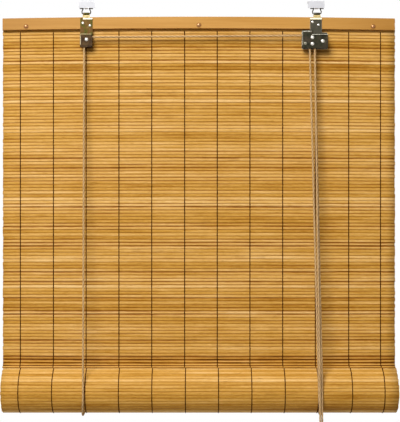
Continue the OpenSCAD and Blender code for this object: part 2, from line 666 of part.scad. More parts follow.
// Band of three turns around the hank
module hank_tie() color(cord_color) {
    half_w = hank_out_r + running_gap;
    half_d = hank_depth + running_gap;
    corner_r = 0.9;
    translate([hank_x, hank_y, hank_mid_z - tie_h / 2]) linear_extrude(height = tie_h) difference() {
        round_rect(-half_w - cord_d, -half_d - cord_d, half_w + cord_d, half_d + cord_d, corner_r + cord_d);
        round_rect(-half_w, -half_d, half_w, half_d, corner_r);
    }
}

// Ends of the two strands below the hank, each with a knot
module pull_knots() color(cord_color) for (side = [-1, 1]) {
    x = hank_x + side * (rear_pull_x - front_pull_x) / 2;
    y = hank_y + side * (hank_depth - hank_cord_pitch / 2);
    translate([x, y, hank_low_z - knot_drop]) {
        cylinder(d = cord_d, h = knot_drop, $fn = 24);
        sphere(r = knot_r, $fn = 32);
    }
}

left_hook();
right_hook();
left_ring();
right_ring();
front_batten();
back_batten();
batten_nails();
slat_curtain();
curtain_threads();
mat_bend();
bend_threads();
left_tongue();
right_tongue();
left_bracket();
left_axle();
left_bracket_nails();
left_wheel();
lock_plate();
lock_front();
lock_nails();
lock_wheel_axle();
lock_pin();
lock_cam_axle();
lock_spacer();
lock_wheel();
lock_cam();
head_cord();
lock_cord();
left_lift_front();
right_lift_front();
left_lift_back();
right_lift_back();
left_cord_anchor();
right_cord_anchor();
left_sling();
right_sling();
slat_roll();
roll_threads();
bottom_rod();
front_pull_upper();
rear_pull_upper();
front_pull_lower();
rear_pull_lower();
front_hank();
back_hank();
hank_tie();
pull_knots();
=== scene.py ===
import json
import math
import random
import bmesh
import bpy
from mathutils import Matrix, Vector

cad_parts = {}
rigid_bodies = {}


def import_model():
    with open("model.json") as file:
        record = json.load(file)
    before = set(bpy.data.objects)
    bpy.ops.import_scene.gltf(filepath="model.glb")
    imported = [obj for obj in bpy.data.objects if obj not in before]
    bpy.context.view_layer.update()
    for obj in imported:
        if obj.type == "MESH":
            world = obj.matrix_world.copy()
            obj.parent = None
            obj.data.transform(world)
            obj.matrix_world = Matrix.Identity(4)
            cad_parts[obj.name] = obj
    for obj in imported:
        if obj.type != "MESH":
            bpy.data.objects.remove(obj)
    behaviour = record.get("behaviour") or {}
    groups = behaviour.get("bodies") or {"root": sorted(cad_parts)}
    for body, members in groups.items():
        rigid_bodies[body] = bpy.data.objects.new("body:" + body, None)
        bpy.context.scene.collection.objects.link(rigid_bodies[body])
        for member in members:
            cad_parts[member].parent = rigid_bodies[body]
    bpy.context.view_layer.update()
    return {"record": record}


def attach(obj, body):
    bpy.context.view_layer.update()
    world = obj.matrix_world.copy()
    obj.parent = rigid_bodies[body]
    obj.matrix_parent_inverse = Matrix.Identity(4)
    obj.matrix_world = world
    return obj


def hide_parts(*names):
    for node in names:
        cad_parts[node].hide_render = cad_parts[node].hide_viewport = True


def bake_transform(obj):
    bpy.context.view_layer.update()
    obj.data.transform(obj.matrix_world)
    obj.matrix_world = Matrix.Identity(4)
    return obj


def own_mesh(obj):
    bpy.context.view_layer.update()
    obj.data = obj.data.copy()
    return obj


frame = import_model()
MM = 0.001

# Sizes repeated from the model, in millimetres
MAT_X0, MAT_X1 = -406.0, 394.0
MAT_MID = -6.0
ROLL_SHIFT = 2.0
PITCH = 6.65
SLAT_T = 2.0
MAT_Y = -16.4
MAT_TOP = -37.7
FLAT_ROWS, BEND_ROWS, ROLL_ROWS = 105, 4, 216
HEAD_ROWS = 4
BEND_R = 16.5
ROLL_Y, ROLL_R, WRAP_R, TURN = -20.0, 46.0, 47.8, 4.0
GAP = 0.3
TAIL_ROWS = 3
OUTER_ROWS = 44
SWELL = 1.7
SECTIONS = 40
BATTEN_Y0, FRONT_T, BACK_T = -25.4, 8.0, 5.0
BATTEN_TOP, BATTEN_LOW = -36.5, -60.5
THREADS, THREAD_PITCH, THREAD_SHIFT, THREAD_D = 12, 66.98, 3.6, 2.0
CORD_D = 3.8
LINE_D = 4.4
LIFT = 571.0

MID_R = ROLL_R - SLAT_T / 2
BEND_Z = MAT_TOP - FLAT_ROWS * PITCH
BEND_Y = MAT_Y - BEND_R
BEND_DY = ROLL_Y - BEND_Y
ROLL_Z = BEND_Z - math.sqrt((BEND_R + WRAP_R) ** 2 - BEND_DY ** 2)
MEET = math.asin(BEND_DY / (BEND_R + WRAP_R))
BEND_LEN = BEND_R * (math.pi / 2 - MEET)


def bow(x):
    """Sag of the head and mat between its two hangers, in millimetres of height."""
    return 1.3 - 3.7 * ((x - MAT_MID) / 400) ** 2


NAIL_Z, NAIL_R, NAIL_H = -53.5, 3.4, 1.4
NAIL_SPOTS = [(x, NAIL_Z + bow(x)) for x in (-358.5, -6.0, 349.5)]


# Mesh helpers

def build(name, verts, faces, body, mat, attrs=None, smooth=True):
    """One piece from points in millimetres, riding on a body."""
    mesh = bpy.data.meshes.new(name)
    mesh.from_pydata([tuple(c * MM for c in v) for v in verts], [], faces)
    for key, values in (attrs or {}).items():
        layer = mesh.attributes.new(key, "FLOAT", "POINT")
        layer.data.foreach_set("value", values)
    mesh.polygons.foreach_set("use_smooth", [smooth] * len(mesh.polygons))
    mesh.update()
    obj = bpy.data.objects.new(name, mesh)
    bpy.context.scene.collection.objects.link(obj)
    obj.data.materials.append(mat)
    if body:
        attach(obj, body)
    return obj


class Soup:
    """Vertices, faces and point values gathered for one mesh."""

    def __init__(self, *keys):
        self.verts = []
        self.faces = []
        self.attrs = {k: [] for k in keys}

    def add(self, rings, values, closed=False):
        """Skin over rings of equal count, with end caps unless it closes on itself."""
        base = len(self.verts)
        n = len(rings[0])
        for ring in rings:
            self.verts.extend(ring)
        for key, rows in values.items():
            for row in rows:
                self.attrs[key].extend(row)
        count = len(rings)
        for i in range(count if closed else count - 1):
            a = base + i * n
            b = base + ((i + 1) % count) * n
            for j in range(n):
                k = (j + 1) % n
                self.faces.append((a + j, a + k, b + k, b + j))
        if not closed:
            self.faces.append(tuple(base + j for j in reversed(range(n))))
            last = base + (count - 1) * n
            self.faces.append(tuple(last + j for j in range(n)))

    def piece(self, name, body, mat, smooth=True):
        return build(name, self.verts, self.faces, body, mat, self.attrs, smooth)


def resample(points, step):
    """The same straight runs, cut to about one step."""
    out = [Vector(points[0])]
    for a, b in zip(points, points[1:]):
        a, b = Vector(a), Vector(b)
        n = max(1, round((b - a).length / step))
        out.extend(a.lerp(b, (i + 1) / n) for i in range(n))
    return out


def tube(soup, points, d, sides=12, lay=11.0, depth=0.08, phase=0.0, closed=False):
    """Laid cord of three plies swept along points."""
    pts = [Vector(p) for p in points]
    n = len(pts)
    rings, ply = [], []
    normal = None
    run = 0.0
    for i, p in enumerate(pts):
        if closed:
            t = (pts[(i + 1) % n] - pts[i - 1]).normalized()
        else:
            t = (pts[min(i + 1, n - 1)] - pts[max(i - 1, 0)]).normalized()
        if normal is None:
            normal = Vector((1, 0, 0)) if abs(t.x) < 0.8 else Vector((0, 1, 0))
        normal = (normal - t * normal.dot(t)).normalized()
        side = t.cross(normal)
        if i:
            run += (p - pts[i - 1]).length
        twist = phase + 2 * math.pi * run / lay / 3
        ring, value = [], []
        for j in range(sides):
            a = 2 * math.pi * j / sides
            wave = math.cos(3 * (a - twist))
            r = d / 2 * (1 - depth + depth * wave)
            ring.append(tuple(p + (normal * math.cos(a) + side * math.sin(a)) * r))
            value.append(0.5 + 0.5 * wave)
        rings.append(ring)
        ply.append(value)
    soup.add(rings, {"ply": ply}, closed=closed)


# Materials

def new_material(name):
    mat = bpy.data.materials.new(name)
    mat.use_nodes = True
    tree = mat.node_tree
    tree.nodes.clear()
    out = tree.nodes.new("ShaderNodeOutputMaterial")
    bsdf = tree.nodes.new("ShaderNodeBsdfPrincipled")
    tree.links.new(bsdf.outputs[0], out.inputs[0])
    return mat, tree, bsdf


def put(tree, target, value):
    if isinstance(value, bpy.types.NodeSocket):
        tree.links.new(value, target)
    else:
        target.default_value = value


def math_node(tree, op, a, b=0.0, clamp=False):
    node = tree.nodes.new("ShaderNodeMath")
    node.operation = op
    node.use_clamp = clamp
    put(tree, node.inputs[0], a)
    put(tree, node.inputs[1], b)
    return node.outputs[0]


def weighted(tree, *parts):
    """Sum of (socket, share) pairs."""
    total = None
    for part, share in parts:
        term = math_node(tree, "MULTIPLY", part, share)
        total = term if total is None else math_node(tree, "ADD", total, term)
    return total


def distance(tree, a, b):
    """Length over two legs at right angles."""
    squares = [math_node(tree, "MULTIPLY", leg, leg) for leg in (a, b)]
    return math_node(tree, "SQRT", math_node(tree, "ADD", *squares))


def seen_ray(tree):
    """1 for rays that show the background: from the camera, off gloss or through glass."""
    path = tree.nodes.new("ShaderNodeLightPath").outputs
    seen = math_node(tree, "MAXIMUM", path["Is Camera Ray"], path["Is Glossy Ray"])
    return math_node(tree, "MAXIMUM", seen, path["Is Transmission Ray"])


def attribute(tree, name):
    node = tree.nodes.new("ShaderNodeAttribute")
    node.attribute_name = name
    return node.outputs["Fac"]


def coords(tree, scale=(1, 1, 1), shift=None):
    """Object coordinates, stretched by scale, with an optional shift along X."""
    vec = tree.nodes.new("ShaderNodeTexCoord").outputs["Object"]
    if shift is not None:
        comb = tree.nodes.new("ShaderNodeCombineXYZ")
        tree.links.new(shift, comb.inputs[0])
        add = tree.nodes.new("ShaderNodeVectorMath")
        tree.links.new(vec, add.inputs[0])
        tree.links.new(comb.outputs[0], add.inputs[1])
        vec = add.outputs[0]
    mapping = tree.nodes.new("ShaderNodeMapping")
    tree.links.new(vec, mapping.inputs["Vector"])
    mapping.inputs["Scale"].default_value = scale
    return mapping.outputs[0]


def axis(tree, index):
    """One object coordinate, in metres."""
    split = tree.nodes.new("ShaderNodeSeparateXYZ")
    tree.links.new(tree.nodes.new("ShaderNodeTexCoord").outputs["Object"], split.inputs[0])
    return split.outputs[index]


def band(tree, value, low, high, soft):
    """1 between low and high millimetres, falling to 0 over the soft width."""
    rise = math_node(tree, "MULTIPLY", math_node(tree, "SUBTRACT", value, low * MM), 1 / (soft * MM), True)
    fall = math_node(tree, "MULTIPLY", math_node(tree, "SUBTRACT", high * MM, value), 1 / (soft * MM), True)
    return math_node(tree, "MULTIPLY", rise, fall)


def noise(tree, vec, scale=1.0, detail=3.0, rough=0.55):
    node = tree.nodes.new("ShaderNodeTexNoise")
    tree.links.new(vec, node.inputs["Vector"])
    node.inputs["Scale"].default_value = scale
    node.inputs["Detail"].default_value = detail
    node.inputs["Roughness"].default_value = rough
    return node.outputs["Fac"]


def ramp(tree, fac, stops):
    """Colours, or plain values, at places along a factor."""
    node = tree.nodes.new("ShaderNodeValToRGB")
    put(tree, node.inputs[0], fac)
    elements = node.color_ramp.elements
    while len(elements) < len(stops):
        elements.new(0.5)
    for element, (pos, colour) in zip(elements, stops):
        element.position = pos
        if not hasattr(colour, "__len__"):
            colour = (colour, colour, colour)
        element.color = (*colour, 1)
    return node.outputs[0]


def mix(tree, fac, a, b, mode="MIX"):
    node = tree.nodes.new("ShaderNodeMix")
    node.data_type = "RGBA"
    node.blend_type = mode
    put(tree, node.inputs[0], fac)
    for socket, value in ((node.inputs[6], a), (node.inputs[7], b)):
        if isinstance(value, bpy.types.NodeSocket):
            tree.links.new(value, socket)
        else:
            socket.default_value = (*value, 1)
    return node.outputs[2]


def bump(tree, bsdf, height, strength, distance):
    node = tree.nodes.new("ShaderNodeBump")
    node.inputs["Strength"].default_value = strength
    node.inputs["Distance"].default_value = distance
    tree.links.new(height, node.inputs["Height"])
    tree.links.new(node.outputs[0], bsdf.inputs["Normal"])


def rgb(r, g, b):
    """Screen colour of 0 to 255 as linear values."""
    def lin(c):
        c /= 255
        return c / 12.92 if c <= 0.04045 else ((c + 0.055) / 1.055) ** 2.4
    return (lin(r), lin(g), lin(b))


def bamboo_material():
    """Golden slats: a tone of their own, streaks along X, dark dashes, joints, and edges darkened partly by
    their own skin and partly by painted groove shade.
    """
    mat, tree, bsdf = new_material("bamboo_slats")
    tone = attribute(tree, "tone")
    seed = attribute(tree, "seed")
    edge = attribute(tree, "edge")
    shift = math_node(tree, "MULTIPLY", seed, 9.0)
    streak = noise(tree, coords(tree, (11, 560, 560), shift), 1.0, 4.0, 0.6)
    fibre = noise(tree, coords(tree, (95, 1300, 1300), shift), 1.0, 3.0, 0.65)
    patch = noise(tree, coords(tree, (5, 3, 3), shift), 1.0, 3.0, 0.6)
    cloud = noise(tree, coords(tree, (5, 9, 9)), 1.0, 2.0, 0.5)
    level = weighted(tree, (tone, 0.44), (streak, 0.34), (fibre, 0.36), (patch, 0.28), (cloud, 0.13))
    colour = ramp(tree, level, [
        (0.58, rgb(160, 107, 26)), (0.71, rgb(195, 145, 60)),
        (0.84, rgb(216, 168, 92)), (0.98, rgb(235, 196, 131))])
    joint_shift = math_node(tree, "MULTIPLY", seed, 37.0)
    joints = noise(tree, coords(tree, (5.5, 0.01, 0.01), joint_shift), 1.0, 0.0)
    mark = ramp(tree, joints, [(0.685, 0.0), (0.70, 1.0), (0.73, 1.0), (0.745, 0.0)])
    colour = mix(tree, math_node(tree, "MULTIPLY", mark, 0.14), colour, rgb(120, 74, 24))
    dash = noise(tree, coords(tree, (46, 700, 700), shift), 1.0, 2.0, 0.6)
    dash = ramp(tree, dash, [(0.64, 0.0), (0.74, 1.0)])
    colour = mix(tree, math_node(tree, "MULTIPLY", dash, 0.6), colour, rgb(128, 78, 14))
    # Edge darkening: partly the slats' own darker skin, partly painted shade in the grooves between slats.
    reach = noise(tree, coords(tree, (16, 30, 30), shift), 1.0, 3.0, 0.6)
    reach = ramp(tree, reach, [(0.3, 0.55), (0.7, 1.15)])
    edge = math_node(tree, "MULTIPLY", edge, reach)
    colour = mix(tree, math_node(tree, "MULTIPLY", edge, 0.84, True), colour, rgb(132, 74, 2))
    # Edge weights past 1, on rows given extra darkness, turn to near-black painted shade.
    deep = math_node(tree, "SUBTRACT", edge, 1.0, True)
    colour = mix(tree, deep, colour, rgb(34, 14, 0))
    tree.links.new(colour, bsdf.inputs["Base Color"])
    rough = ramp(tree, streak, [(0.3, 0.46), (0.7, 0.62)])
    tree.links.new(rough, bsdf.inputs["Roughness"])
    height = math_node(tree, "ADD", streak, math_node(tree, "MULTIPLY", fibre, 0.6))
    bump(tree, bsdf, height, 0.35, 0.0003)
    bsdf.inputs["Specular IOR Level"].default_value = 0.08
    return mat


def batten_material():
    """Smooth wood, deeper towards both ends, with a painted shadow ring around each nail."""
    mat, tree, bsdf = new_material("batten_wood")
    grain = noise(tree, coords(tree, (4, 120, 150)), 1.0, 5.0, 0.6)
    fine = noise(tree, coords(tree, (30, 1400, 1600)), 1.0, 2.0, 0.6)
    cloud = noise(tree, coords(tree, (3, 6, 6)), 1.0, 2.0)
    level = weighted(tree, (grain, 0.6), (fine, 0.2), (cloud, 0.3))
    colour = ramp(tree, level, [
        (0.30, rgb(166, 113, 44)), (0.5, rgb(188, 136, 63)), (0.75, rgb(204, 153, 81))])
    along = math_node(tree, "ADD", axis(tree, 0), 0.5)
    deep = ramp(tree, along, [(0.1, 0.75), (0.3, 0.2), (0.72, 0.12), (0.9, 1.0)])
    colour = mix(tree, deep, colour, mix(tree, 1.0, colour, (0.72, 0.66, 0.52), "MULTIPLY"))
    # Painted shadow of each dome nail, centred a little below and right of it.
    for x, z in NAIL_SPOTS:
        across = math_node(tree, "SUBTRACT", axis(tree, 0), (x + 0.7) * MM)
        down = math_node(tree, "SUBTRACT", axis(tree, 2), (z - 0.9) * MM)
        away = math_node(tree, "MULTIPLY", distance(tree, across, down), 100.0, True)
        ring = ramp(tree, away, [(0.36, 0.75), (0.62, 0.0)])
        colour = mix(tree, ring, colour, rgb(110, 64, 18))
    tree.links.new(colour, bsdf.inputs["Base Color"])
    bsdf.inputs["Specular IOR Level"].default_value = 0.16
    rough = ramp(tree, grain, [(0.3, 0.36), (0.7, 0.52)])
    tree.links.new(rough, bsdf.inputs["Roughness"])
    bump(tree, bsdf, math_node(tree, "ADD", grain, fine), 0.2, 0.0003)
    return mat


def thread_material():
    mat, tree, bsdf = new_material("warp_thread")
    ply = attribute(tree, "ply")
    fuzz = noise(tree, coords(tree), 1800.0, 2.0)
    level = weighted(tree, (ply, 0.5), (fuzz, 0.5))
    colour = ramp(tree, level, [(0.2, rgb(44, 18, 1)), (0.55, rgb(70, 34, 4)), (0.85, rgb(98, 56, 12))])
    tree.links.new(colour, bsdf.inputs["Base Color"])
    tree.links.new(ramp(tree, fuzz, [(0.3, 0.75), (0.7, 0.95)]), bsdf.inputs["Roughness"])
    bump(tree, bsdf, level, 0.5, 0.0002)
    bsdf.inputs["Specular IOR Level"].default_value = 0.05
    return mat


def cord_material():
    mat, tree, bsdf = new_material("pull_cord")
    ply = attribute(tree, "ply")
    fuzz = noise(tree, coords(tree), 1300.0, 3.0, 0.65)
    cloud = noise(tree, coords(tree), 60.0, 2.0)
    level = weighted(tree, (ply, 0.32), (fuzz, 0.45), (cloud, 0.3))
    colour = ramp(tree, level, [
        (0.2, rgb(116, 84, 49)), (0.5, rgb(178, 143, 97)), (0.8, rgb(212, 180, 134))])
    tree.links.new(colour, bsdf.inputs["Base Color"])
    tree.links.new(ramp(tree, fuzz, [(0.3, 0.78), (0.7, 0.96)]), bsdf.inputs["Roughness"])
    bump(tree, bsdf, level, 0.6, 0.0004)
    bsdf.inputs["Specular IOR Level"].default_value = 0.1
    return mat


def metal_material(name, dark, light, metallic, rough, scale, strength=0.12, between=()):
    """Clouded metal or enamel from a dark to a light colour, with fine specks."""
    mat, tree, bsdf = new_material(name)
    stops = [dark, *between, light]
    cloud = noise(tree, coords(tree), scale, 4.0, 0.6)
    speck = noise(tree, coords(tree), 2400.0, 2.0, 0.6)
    level = weighted(tree, (cloud, 0.8), (speck, 0.2))
    tree.links.new(ramp(tree, level, stops), bsdf.inputs["Base Color"])
    tree.links.new(ramp(tree, level, [(0.3, rough[0]), (0.7, rough[1])]), bsdf.inputs["Roughness"])
    bsdf.inputs["Metallic"].default_value = metallic
    bump(tree, bsdf, speck, strength, 0.0002)
    return mat


def painted_light_bands(tree, colour, places, scale):
    """Painted highlights and shade in bands, each as x and z limits, strength and tint, broken up by noise.
    """
    x, z = axis(tree, 0), axis(tree, 2)
    light_breakup = ramp(tree, noise(tree, coords(tree), scale, 3.0, 0.6), [(0.40, 0.25), (0.56, 1.0)])
    for x0, x1, z0, z1, strength, tint in places:
        spot = math_node(tree, "MULTIPLY", band(tree, x, x0, x1, 0.5), band(tree, z, z0, z1, 0.5))
        spot = math_node(tree, "MULTIPLY", math_node(tree, "MULTIPLY", spot, light_breakup), strength)
        colour = mix(tree, spot, colour, tint)
    return colour


def plate_finish(tree, bsdf, colour, cloud):
    """Semi-gloss finish of the folded plates."""
    speck = noise(tree, coords(tree), 2400.0, 2.0, 0.6)
    tree.links.new(colour, bsdf.inputs["Base Color"])
    tree.links.new(ramp(tree, cloud, [(0.3, 0.34), (0.7, 0.5)]), bsdf.inputs["Roughness"])
    bsdf.inputs["Metallic"].default_value = 0.35
    bsdf.inputs["Specular IOR Level"].default_value = 0.1
    bump(tree, bsdf, speck, 0.12, 0.0002)


def zinc_material():
    """Yellow-passivated steel: olive on the upper plate, dull brown on the pulley's housing."""
    mat, tree, bsdf = new_material("zinc_yellow")
    cloud = noise(tree, coords(tree), 90.0, 4.0, 0.6)
    upper = ramp(tree, cloud, [
        (0.34, rgb(52, 51, 12)), (0.47, rgb(82, 73, 22)),
        (0.56, rgb(90, 57, 28)), (0.68, rgb(102, 88, 39))])
    lower = ramp(tree, cloud, [(0.34, rgb(38, 24, 11)), (0.5, rgb(60, 42, 22)), (0.68, rgb(80, 61, 36))])
    above = math_node(tree, "ADD", axis(tree, 2), 0.0765)
    share = ramp(tree, math_node(tree, "MULTIPLY", above, 200.0, True), [(0.2, 0.0), (0.8, 1.0)])
    colour = mix(tree, share, lower, upper)
    # Painted highlights on the fold's crease and rounded left rim, painted shade along the bottom edge.
    pale = rgb(226, 208, 170)
    colour = painted_light_bands(tree, colour, [
        (-246.5, -224.0, -72.0, -70.2, 0.65, pale), (-248.0, -245.3, -94.0, -71.5, 0.9, pale),
        (-248.0, -223.0, -97.0, -95.0, 0.5, rgb(30, 24, 16))], 420.0)
    plate_finish(tree, bsdf, colour, cloud)
    return mat


def lock_material():
    """Dark grey-green steel of the lock's front, with painted highlights along its top edge, left rim and
    lip and painted shade above the lip.
    """
    mat, tree, bsdf = new_material("lock_front_steel")
    cloud = noise(tree, coords(tree), 110.0, 4.0, 0.6)
    colour = ramp(tree, cloud, [
        (0.32, rgb(29, 28, 20)), (0.5, rgb(48, 47, 33)),
        (0.58, rgb(54, 45, 36)), (0.72, rgb(78, 75, 56))])
    # Painted shade above the lip; painted highlights on the lip, the top-left edge and the left rim.
    pale = rgb(206, 202, 184)
    colour = painted_light_bands(tree, colour, [
        (223.5, 256.5, -72.6, -69.0, 0.8, rgb(16, 14, 10)), (223.5, 256.5, -75.0, -72.9, 0.95, pale),
        (204.0, 223.0, -68.6, -66.2, 0.8, pale), (203.5, 205.6, -96.0, -67.0, 0.45, pale)], 420.0)
    plate_finish(tree, bsdf, colour, cloud)
    return mat


def painted_lit_zinc_material():
    """Zinc of the tongues painted pale as if lit, with a painted near-white highlight along the shoulder.
    """
    mat, tree, bsdf = new_material("pale_zinc")
    cloud = noise(tree, coords(tree), 260.0, 4.0, 0.6)
    colour = ramp(tree, cloud, [(0.3, rgb(196, 170, 104)), (0.7, rgb(234, 214, 158))])
    # Painted highlight: near white along the shoulder's band.
    shoulder_highlight = band(tree, axis(tree, 2), -41.5, -37.6, 0.5)
    colour = mix(tree, shoulder_highlight, colour, rgb(250, 244, 214))
    tree.links.new(colour, bsdf.inputs["Base Color"])
    tree.links.new(ramp(tree, cloud, [(0.3, 0.28), (0.7, 0.42)]), bsdf.inputs["Roughness"])
    bsdf.inputs["Metallic"].default_value = 0.15
    return mat


BAMBOO = bamboo_material()
BATTEN = batten_material()
THREAD = thread_material()
CORD = cord_material()
ZINC = zinc_material()
LOCK_FRONT = lock_material()
PAINTED_LIT_ZINC = painted_lit_zinc_material()
DARK_STEEL = metal_material(
    "dark_steel", (0.32, rgb(32, 30, 19)), (0.72, rgb(76, 71, 48)), 0.4, (0.34, 0.5), 110.0,
    between=((0.5, rgb(50, 47, 29)), (0.58, rgb(53, 46, 31))))
# Light edge colours: painted highlights on the rounded sheet edges.
ZINC_EDGE_HIGHLIGHT = metal_material(
    "zinc_edge_highlight", (0.3, rgb(176, 156, 118)), (0.7, rgb(226, 212, 180)), 0.6, (0.25, 0.4), 400.0)
STEEL_EDGE_HIGHLIGHT = metal_material(
    "steel_edge_highlight", (0.3, rgb(130, 128, 116)), (0.7, rgb(196, 194, 184)), 0.7, (0.25, 0.4), 400.0)
RIVET = metal_material(
    "bright_rivet", (0.3, rgb(178, 172, 160)), (0.7, rgb(222, 217, 207)), 0.8, (0.2, 0.36), 500.0)
NAIL = metal_material(
    "dull_nail", (0.3, rgb(88, 84, 68)), (0.7, rgb(134, 128, 110)), 0.7, (0.32, 0.5), 500.0)
DOME = metal_material(
    "dome_nail", (0.3, rgb(138, 92, 56)), (0.7, rgb(182, 134, 92)), 0.85, (0.24, 0.38), 500.0)
WIRE = metal_material(
    "ring_wire", (0.3, rgb(40, 35, 24)), (0.7, rgb(74, 66, 50)), 0.6, (0.3, 0.5), 300.0)
WHEEL = metal_material(
    "wheel_metal", (0.3, rgb(110, 108, 102)), (0.7, rgb(158, 156, 150)), 0.8, (0.3, 0.48), 300.0)
WHITE = metal_material(
    "white_enamel", (0.3, rgb(190, 190, 195)), (0.7, rgb(208, 208, 212)), 0.0, (0.26, 0.36), 40.0, 0.04)
NODE_MATERIALS = {
    "hook_white": WHITE, "pale_zinc": PAINTED_LIT_ZINC, "zinc": ZINC, "dark_steel": DARK_STEEL,
    "rivet": RIVET, "nail": NAIL, "wire": WIRE, "wheel": WHEEL,
    "batten": BATTEN, "bamboo": BAMBOO, "thread": THREAD, "cord": CORD,
}
for part in frame["record"]["subparts"]:
    obj = bpy.data.objects[part["node"]]
    obj.data.materials.clear()
    obj.data.materials.append(NODE_MATERIALS[part["material_slot"]])


# Sheet metal with eased edges that carry a painted highlight

def eased(node, body, mats, width):
    """Copy of a solid with rounded edges; the last of several materials lies on the edges as a painted
    highlight.
    """
    source = bpy.data.objects[node]
    obj = bpy.data.objects.new(node + "_eased", source.data.copy())
    bpy.context.scene.collection.objects.link(obj)
    soft = bmesh.new()
    soft.from_mesh(obj.data)
    bmesh.ops.remove_doubles(soft, verts=soft.verts, dist=1e-6)
    soft.to_mesh(obj.data)
    soft.free()
    obj.data.materials.clear()
    for mat in mats:
        obj.data.materials.append(mat)
    mod = obj.modifiers.new("ease", "BEVEL")
    mod.width = width * MM
    mod.segments = 2
    mod.limit_method = "ANGLE"
    mod.angle_limit = math.radians(50)
    mod.material = len(mats) - 1
    ready = obj.evaluated_get(bpy.context.evaluated_depsgraph_get())
    obj.data = bpy.data.meshes.new_from_object(ready)
    obj.modifiers.clear()
    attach(obj, body)
    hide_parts(node)
    return obj


eased("left_bracket", "head", [ZINC, ZINC_EDGE_HIGHLIGHT], 0.35)
eased("lock_plate", "head", [DARK_STEEL, STEEL_EDGE_HIGHLIGHT], 0.3)
eased("lock_front", "head", [LOCK_FRONT, STEEL_EDGE_HIGHLIGHT], 0.35)
eased("left_hook", "hanger", [WHITE], 0.4)
eased("right_hook", "hanger", [WHITE], 0.4)


# Paths of the mat, as (y, z)

def bend_point(s):
    """Point at length s along the bend and on around the roll."""
    if s < BEND_LEN:
        a = s / BEND_R
        return (BEND_Y + BEND_R * math.cos(a), BEND_Z - BEND_R * math.sin(a))
    a = MEET + (s - BEND_LEN) / WRAP_R
    return (ROLL_Y - WRAP_R * math.sin(a), ROLL_Z + WRAP_R * math.cos(a))


CURTAIN_PATH = [(MAT_Y, MAT_TOP - i * PITCH) for i in range(FLAT_ROWS + 1)]
CURTAIN_PATH += [bend_point(i * PITCH + GAP) for i in range(1, BEND_ROWS + 1)]


def roll_path():
    """Edges of the roll's rows from the outer end inwards, swollen where the bend meets the roll."""
    start = MEET + ((BEND_ROWS - 1) * PITCH - BEND_LEN + GAP) / WRAP_R
    points = []
    a = -TAIL_ROWS * PITCH / MID_R
    for _ in range(TAIL_ROWS + ROLL_ROWS + 1):
        swell = SWELL * max(0.0, 1 - max(a / 0.25, -a / 0.9))
        r = MID_R - TURN * max(a, 0.0) / (2 * math.pi) + swell
        points.append((ROLL_Y - r * math.sin(a + start), ROLL_Z + r * math.cos(a + start)))
        a += PITCH / r
    return points


ROLL_PATH = roll_path()
ROLL_COUNT = len(ROLL_PATH) - 1


def slat_frame(path, i):
    """Middle, direction, outward normal and length of row i."""
    (y0, z0), (y1, z1) = path[i], path[i + 1]
    length = math.hypot(y1 - y0, z1 - z0)
    dy, dz = (y1 - y0) / length, (z1 - z0) / length
    return ((y0 + y1) / 2, (z0 + z1) / 2), (dy, dz), (dz, -dy), length


def slat_profile(length, gap_a, gap_b, crown):
    """Cross-section as (along the path, towards the room, edge): touching edges, a rounded face."""
    h = length / 2
    a, b = -h + gap_a, h - gap_b
    top = 0.98 + crown
    return [
        (-h - 0.2, 0.1, 1.0), (-h + 0.1, 0.25, 1.0), (a, 0.5, 0.8), (a + 0.5, top - 0.26, 0.42),
        (a + 1.4, top - 0.08, 0.15), (0.0, top, 0.0), (b - 1.4, top - 0.08, 0.15),
        (b - 0.5, top - 0.26, 0.42),
        (b, 0.5, 0.8), (h - 0.1, 0.25, 1.0), (h + 0.2, 0.1, 1.0),
        (b, -0.75, 0.75), (b - 0.5, -1.0, 0.1), (0.0, -1.0, 0.0), (a + 0.5, -1.0, 0.1), (a, -0.75, 0.75)]


def gap_at(gap, x):
    """Width of an edge at x, from its width, sway, rate and phase."""
    width, sway, rate, phase = gap
    slow = math.sin(0.37 * rate * x / 400 + 2 * phase)
    return max(0.04, width + sway * math.sin(rate * x / 400 + phase) * slow)


def add_slat(soup, path, i, ends, sections, rng, gaps, bow_share, dark=0.0, relief=1.0, base=0.5):
    """One slat with its own crown, tone, lift and wave; dark and relief set how deep its edges look, dark
    adding painted shade.
    """
    mid, d, n, length = slat_frame(path, i)
    crown = rng.uniform(0.0, 0.16)
    tone = min(1.0, max(0.0, rng.gauss(base, 0.13)))
    seed = rng.random() * 100
    lift = rng.uniform(-0.12, 0.12)
    waves = [(rng.uniform(0.05, 0.22), rng.uniform(3, 16), rng.uniform(0, 6.3)) for _ in range(3)]
    rings, tones, seeds, edges = [], [], [], []
    for k in range(sections + 1):
        x = ends[0] + (ends[1] - ends[0]) * k / sections
        prof = slat_profile(length, gap_at(gaps[i], x), gap_at(gaps[i + 1], x), crown)
        wob = sum(a * math.sin(f * x / 400 + p) for a, f, p in waves)
        drop = bow(x) * bow_share
        ring = []
        for u, v, e in prof:
            u += wob * (1 - e)
            v += lift * (1 - e)
            ring.append((x, mid[0] + d[0] * u + n[0] * v, mid[1] + d[1] * u + n[1] * v + drop))
        rings.append(ring)
        tones.append([tone] * len(prof))
        seeds.append([seed] * len(prof))
        edges.append([(e + dark * e) * relief for _, _, e in prof])
    soup.add(rings, {"tone": tones, "seed": seeds, "edge": edges})


def edge_gaps(count, rng, wide, tight):
    """Edges between slats as width, sway, rate and phase, with a share of wide and of tight ones."""
    gaps = []
    for _ in range(count + 1):
        pick = rng.random()
        if pick < wide:
            width = rng.uniform(0.6, 0.85)
        elif pick < 1 - tight:
            width = rng.uniform(0.3, 0.5)
        else:
            width = rng.uniform(0.05, 0.25)
        gaps.append((width, rng.uniform(0.1, 0.45), rng.uniform(2, 9), rng.uniform(0, 6.3)))
    return gaps


